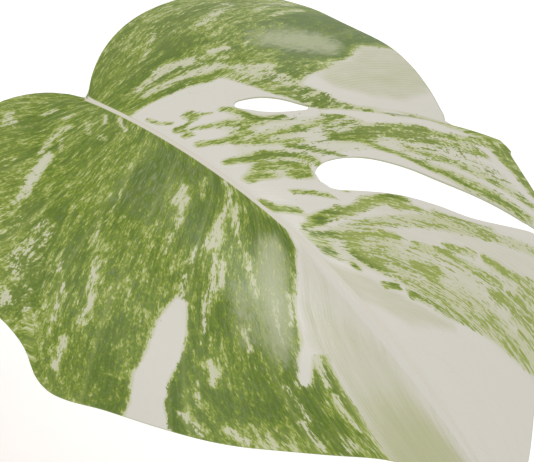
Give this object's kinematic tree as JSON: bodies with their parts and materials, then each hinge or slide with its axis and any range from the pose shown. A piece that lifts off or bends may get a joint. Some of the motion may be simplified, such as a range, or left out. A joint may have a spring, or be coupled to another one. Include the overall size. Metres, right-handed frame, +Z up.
{
  "type": "potted monstera aurea marmorata",
  "caption": "Potted variegated monstera: split cream and green leaves on long petioles from one stem, a rolled new leaf and aerial roots, in a plain clay pot that rests on its flat foot.",
  "frame": {"origin": "centre of the pot's flat underside", "axes": "+Z up along the pot's axis, -Y towards the viewer, +X to the viewer's right, where the largest leaf is"},
  "size_m": [0.7243, 0.5628, 0.4408],
  "materials": {
    "clay": "dry unglazed clay with faint turning lines",
    "earth": "crumbly moist potting mix with bark chips",
    "bark": "green-brown stem with pale leaf scars",
    "root": "dry corky root",
    "stalk": "semi-gloss green with pale streaks",
    "leaf": "semi-gloss green marbled with cream along the side veins",
    "new_leaf": "semi-gloss cream with green streaks"
  },
  "bodies": {
    "root": {"pot": "clay", "soil": "earth", "stem": "bark", "aerial_root_1": "root", "aerial_root_2": "root", "petiole_1": "stalk", "petiole_2": "stalk", "petiole_3": "stalk", "petiole_4": "stalk", "petiole_5": "stalk", "leaf_1": "leaf", "leaf_2": "leaf", "leaf_3": "leaf", "leaf_4": "leaf", "leaf_5": "leaf", "new_leaf": "new_leaf"}
  },
  "joints": []
}
